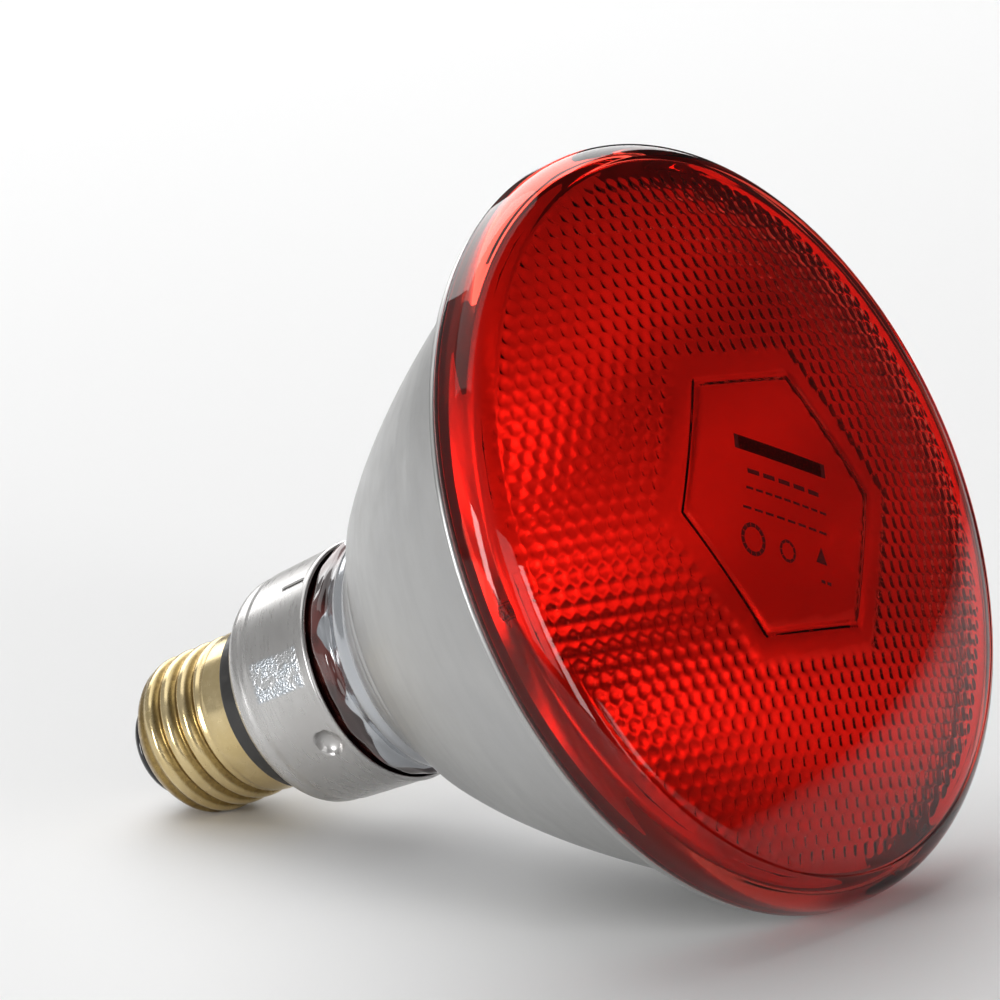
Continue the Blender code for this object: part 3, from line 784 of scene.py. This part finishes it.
def make_turned_pieces():
    """The ring, the insulator and the contact at the tip."""
    ceramic = dark_gloss("black_ceramic", (0.016, 0.015, 0.014), (0.04, 0.035, 0.03), 0.42)
    black_glass = dark_gloss("black_glass", (0.012, 0.011, 0.013), (0.04, 0.035, 0.035), 0.14)
    contact = plain_metal("contact_metal", (0.72, 0.6, 0.4), 0.3, (0.5, 0.4, 0.25))
    solder = plain_metal("solder", (0.55, 0.55, 0.57), 0.35, (0.34, 0.34, 0.36))
    ring = rounded([
        (12.4, 30.6), (13.9, 30.6, 0.3), (14.3, 30.1, 0.4), (14.1, 27.2, 0.4), (13.6, 26.9, 0.2),
        (12.4, 26.9), (12.4, 23.6), (11.8, 23.6), (11.8, 33.4), (12.4, 33.4)])
    cone = rounded([
        (1.2, 10.2), (8.6, 10.2), (9.2, 9.0), (9.2, 7.4), (7.9, 5.4, 0.4), (7.9, 4.2, 0.2),
        (8.5, 3.4, 0.5), (7.8, 2.2, 1.0), (5.6, 2.5, 0.6), (1.2, 2.5)])
    disc = rounded([(1.0, 2.2), (4.7, 2.2, 0.2), (4.7, 1.3, 0.4), (4.4, 1.0, 0.4), (1.0, 1.0)])
    drop = [(0.0, 0.7)] + [(2.2 * math.cos(t), 0.7 - 0.7 * math.sin(t))
                           for t in np.radians(np.linspace(0, 90, 12))]
    for name, profile, finish, slot, node, closed in (
            ("insulating_bush", ring, ceramic, "black_ceramic", "insulating_ring", True),
            ("insulator_glass", cone, black_glass, "black_glass", "insulator_cone", True),
            ("contact_disc", disc, contact, "brass", "centre_contact", True),
            ("solder_drop", drop, solder, "solder", "contact_solder", False)):
        mesh = finished(turned(name, profile, 128, closed=closed), 40)
        piece(name, mesh, [finish], [node])


def finish_inner_works():
    """Procedural finishes for the CAD nodes whose shape stays."""
    copper = plain_metal("copper", (0.75, 0.42, 0.28), 0.3, (0.5, 0.27, 0.17))
    nickel = plain_metal("nickel", (0.6, 0.58, 0.55), 0.28, (0.42, 0.4, 0.37))
    tungsten = plain_metal("tungsten", (0.2, 0.2, 0.21), 0.4, (0.1, 0.1, 0.11))
    joint = plain_metal("joint_solder", (0.5, 0.5, 0.52), 0.4, (0.3, 0.3, 0.32))
    glass, dry = clear_glass(), cement()
    for finish, names in (
            (copper, ("left_ferrule", "right_ferrule", "centre_lead", "shell_lead")),
            (nickel, ("left_lead_post", "right_lead_post", "filament_anchor")),
            (tungsten, ("filament_coil",)),
            (joint, ("shell_solder",)),
            (glass, ("exhaust_tip", "support_bead")),
            (dry, ("fuse_sleeve", "basing_cement"))):
        for name in names:
            node = frame["nodes"][name]
            node.data.materials.clear()
            node.data.materials.append(finish)


# ---------------------------------------------------------------- studio

def make_floor():
    """A wide pale floor under the lamp."""
    reach = 9000
    corners = [(-reach, -reach, 0), (reach, -reach, 0), (reach, reach, 0), (-reach, reach, 0)]
    floor = bpy.data.objects.new("floor", mesh_from("floor", corners, [[0, 1, 2, 3]]))
    bpy.context.scene.collection.objects.link(floor)
    made = Finish("pale_floor", (0.86, 0.86, 0.86), 0.6)
    floor.data.materials.append(made.material)


def direction(azimuth, elevation):
    """A unit vector; azimuth 0 is -Y, which the lens faces, and 90 is +X, in degrees."""
    turn, rise = math.radians(azimuth), math.radians(elevation)
    return Vector((math.sin(turn) * math.cos(rise), -math.cos(turn) * math.cos(rise), math.sin(rise)))


def softbox(name, azimuth, elevation, distance, width, height, power, aim):
    """A large soft light that faces the lamp."""
    light = bpy.data.lights.new(name, "AREA")
    light.shape = "RECTANGLE"
    light.size, light.size_y = width, height
    light.energy = power
    made = bpy.data.objects.new(name, light)
    bpy.context.scene.collection.objects.link(made)
    towards = direction(azimuth, elevation)
    made.location = aim + towards * distance
    made.rotation_euler = (-towards).to_track_quat("-Z", "Y").to_euler()
    made.visible_camera = False
    return made


def make_studio(aim):
    """Soft boxes around the lamp: high ones whiten the floor, low ones light the lens and the rim.

    The room is pale behind the lamp and to its left, and dark where the lens would mirror it.
    """
    world = bpy.data.worlds.new("studio")
    bpy.context.scene.world = world
    world.use_nodes = True
    nodes, links = world.node_tree.nodes, world.node_tree.links
    spot = nodes.new("ShaderNodeTexCoord")
    towards = nodes.new("ShaderNodeVectorMath")
    towards.operation = "DOT_PRODUCT"
    towards.inputs[1].default_value = direction(-135, 0)
    wall = nodes.new("ShaderNodeMapRange")
    wall.interpolation_type = "SMOOTHSTEP"
    for socket, value in (("From Min", -0.2), ("From Max", 0.65), ("To Min", 0.03), ("To Max", 0.42)):
        wall.inputs[socket].default_value = value
    links.new(spot.outputs["Generated"], towards.inputs[0])
    links.new(towards.outputs["Value"], wall.inputs["Value"])
    links.new(wall.outputs[0], nodes["Background"].inputs["Strength"])
    nodes["Background"].inputs["Color"].default_value = (1.0, 1.0, 1.0, 1.0)
    softbox("top_box", 180, 66, 1.6, 2.0, 1.4, 9.5, aim)
    softbox("back_box", 138, 34, 1.8, 2.0, 1.4, 23.0, aim)
    softbox("rim_box", -107, 6, 1.6, 0.35, 0.8, 13.0, aim)
    softbox("key_box", -42, 18, 1.6, 0.8, 0.8, 3.8, aim)
    softbox("front_box", -18, 14, 1.6, 0.3, 0.8, 7.0, aim)
    softbox("edge_box", 6, -2, 1.5, 0.2, 0.6, 1.2, aim)


def make_camera(aim):
    """A long lens from the lamp's left front, slightly above, turned a little about its own line."""
    roll = math.radians(CAMERA_ROLL)
    data = bpy.data.cameras.new("camera")
    data.lens = CAMERA_LENS
    camera = bpy.data.objects.new("camera", data)
    bpy.context.scene.collection.objects.link(camera)
    back = direction(CAMERA_AZIMUTH, CAMERA_ELEVATION)
    camera.location = aim + back * CAMERA_DISTANCE
    camera.rotation_euler = (
        (-back).to_track_quat("-Z", "Y").to_matrix() @ Matrix.Rotation(roll, 3, "Z")).to_euler()
    bpy.context.scene.camera = camera


make_lens()
make_marks()
make_bowl()
make_skirt()
make_screw_shell()
make_turned_pieces()
finish_inner_works()

middle = (cad_low + cad_high) / 2
make_floor()
make_studio(middle)
make_camera(middle)
bpy.context.scene.view_settings.view_transform = "Standard"
